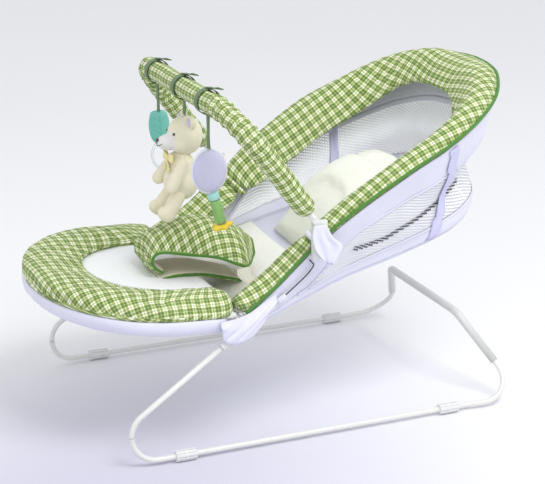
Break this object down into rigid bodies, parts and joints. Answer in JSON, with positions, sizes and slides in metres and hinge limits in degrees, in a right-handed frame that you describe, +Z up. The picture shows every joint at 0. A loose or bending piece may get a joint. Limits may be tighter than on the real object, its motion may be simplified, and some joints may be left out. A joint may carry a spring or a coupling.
{
  "type": "baby bouncer",
  "caption": "Sprung wire-frame baby bouncer with a padded foot rest, a reclining mesh bucket seat and a swing-back bar of hanging toys.",
  "frame": {"origin": "on the floor under the middle of the object's length and width", "axes": "+X to the sitting child's left, +Y towards the head end, +Z up"},
  "size_m": [0.448, 0.7209, 0.4981],
  "materials": {
    "white_steel": "gloss white paint",
    "white_plastic": "white moulded plastic",
    "gingham": "green and cream woven check, padded",
    "green_webbing": "dark green braid and piping",
    "white_fabric": "white satin weave",
    "mesh_fabric": "fine white mesh",
    "lavender": "lavender cloth",
    "cream_fabric": "cream brushed cotton",
    "teal_rubber": "soft moulded teal rubber",
    "clear_plastic": "clear plastic",
    "cream_plush": "cream plush",
    "yellow_ribbon": "yellow ribbon",
    "aqua_plastic": "pale aqua plastic",
    "bright_green": "bright green plastic"
  },
  "bodies": {
    "base": {"floor_rail_left": "white_steel", "floor_rail_right": "white_steel", "rear_arch": "white_steel", "floor_sleeve_front_left": "white_plastic", "floor_sleeve_front_right": "white_plastic", "floor_sleeve_rear_left": "white_plastic", "floor_sleeve_rear_right": "white_plastic"},
    "legs": {"leg_wire_left": "white_steel", "leg_wire_right": "white_steel", "knee_bracket_left": "white_plastic", "knee_bracket_right": "white_plastic", "knee_pin_left": "white_steel", "knee_pin_right": "white_steel", "knee_sleeve_left": "white_fabric", "knee_sleeve_right": "white_fabric"},
    "foot_rest": {"foot_frame": "white_steel", "foot_lug_left": "white_plastic", "foot_lug_right": "white_plastic", "foot_ring_pad": "gingham", "foot_skirt": "white_fabric", "foot_sling": "white_fabric"},
    "back_rest": {"back_frame": "white_steel", "back_lug_left": "white_plastic", "back_lug_right": "white_plastic", "rim_pad": "gingham", "rim_piping": "green_webbing", "side_band": "white_fabric", "mesh_wall": "mesh_fabric", "lower_band": "white_fabric", "bottom_panel": "white_fabric", "seat_panel": "cream_fabric", "pillow": "cream_fabric", "crotch_strap": "gingham", "waist_flap": "gingham", "waist_strap_left": "cream_fabric", "waist_strap_right": "cream_fabric", "wall_strap_left": "lavender", "wall_strap_right": "lavender", "bar_socket_left": "white_plastic", "bar_socket_right": "white_plastic", "bar_flap_left": "white_fabric", "bar_flap_right": "white_fabric"},
    "toy_bar": {"bar_core": "white_plastic", "bar_cover": "gingham"},
    "leaf_toy": {"leaf_loop": "green_webbing", "leaf_teether": "teal_rubber", "leaf_ring": "clear_plastic"},
    "bear_toy": {"bear_loop": "green_webbing", "bear_head": "cream_plush", "bear_body": "cream_plush", "bear_arm_left": "cream_plush", "bear_arm_right": "cream_plush", "bear_leg_left": "cream_plush", "bear_leg_right": "cream_plush", "bear_bow": "yellow_ribbon"},
    "rattle_toy": {"rattle_loop": "green_webbing", "rattle_disc": "lavender", "rattle_cap": "aqua_plastic", "rattle_stem": "bright_green", "rattle_flower": "yellow_ribbon"}
  },
  "joints": [
    {"name": "seat_bounce", "type": "hinge", "parent": "base", "child": "legs", "pos_m": [0, -0.2775, 0.044], "axis": [1, 0, 0], "range_deg": [-6, 2], "stiffness_Nm_per_rad": 350, "springref_deg": 2.28},
    {"name": "foot_rest_tilt", "type": "hinge", "parent": "legs", "child": "foot_rest", "pos_m": [0, -0.1135, 0.177], "axis": [1, 0, 0], "range_deg": [0, 12]},
    {"name": "back_recline", "type": "hinge", "parent": "legs", "child": "back_rest", "pos_m": [0, -0.1135, 0.177], "axis": [1, 0, 0], "range_deg": [-10, 0]},
    {"name": "toy_bar_swing", "type": "hinge", "parent": "back_rest", "child": "toy_bar", "pos_m": [0, 0.0065, 0.31], "axis": [1, 0, 0], "range_deg": [-70, 0]},
    {"name": "leaf_swing", "type": "hinge", "parent": "toy_bar", "child": "leaf_toy", "pos_m": [0, -0.1169, 0.4799], "axis": [1, 0, 0], "range_deg": [-20, 20]},
    {"name": "bear_swing", "type": "hinge", "parent": "toy_bar", "child": "bear_toy", "pos_m": [0, -0.1169, 0.4799], "axis": [1, 0, 0], "range_deg": [-18, 18]},
    {"name": "rattle_swing", "type": "hinge", "parent": "toy_bar", "child": "rattle_toy", "pos_m": [0, -0.1169, 0.4799], "axis": [1, 0, 0], "range_deg": [-20, 20]}
  ]
}
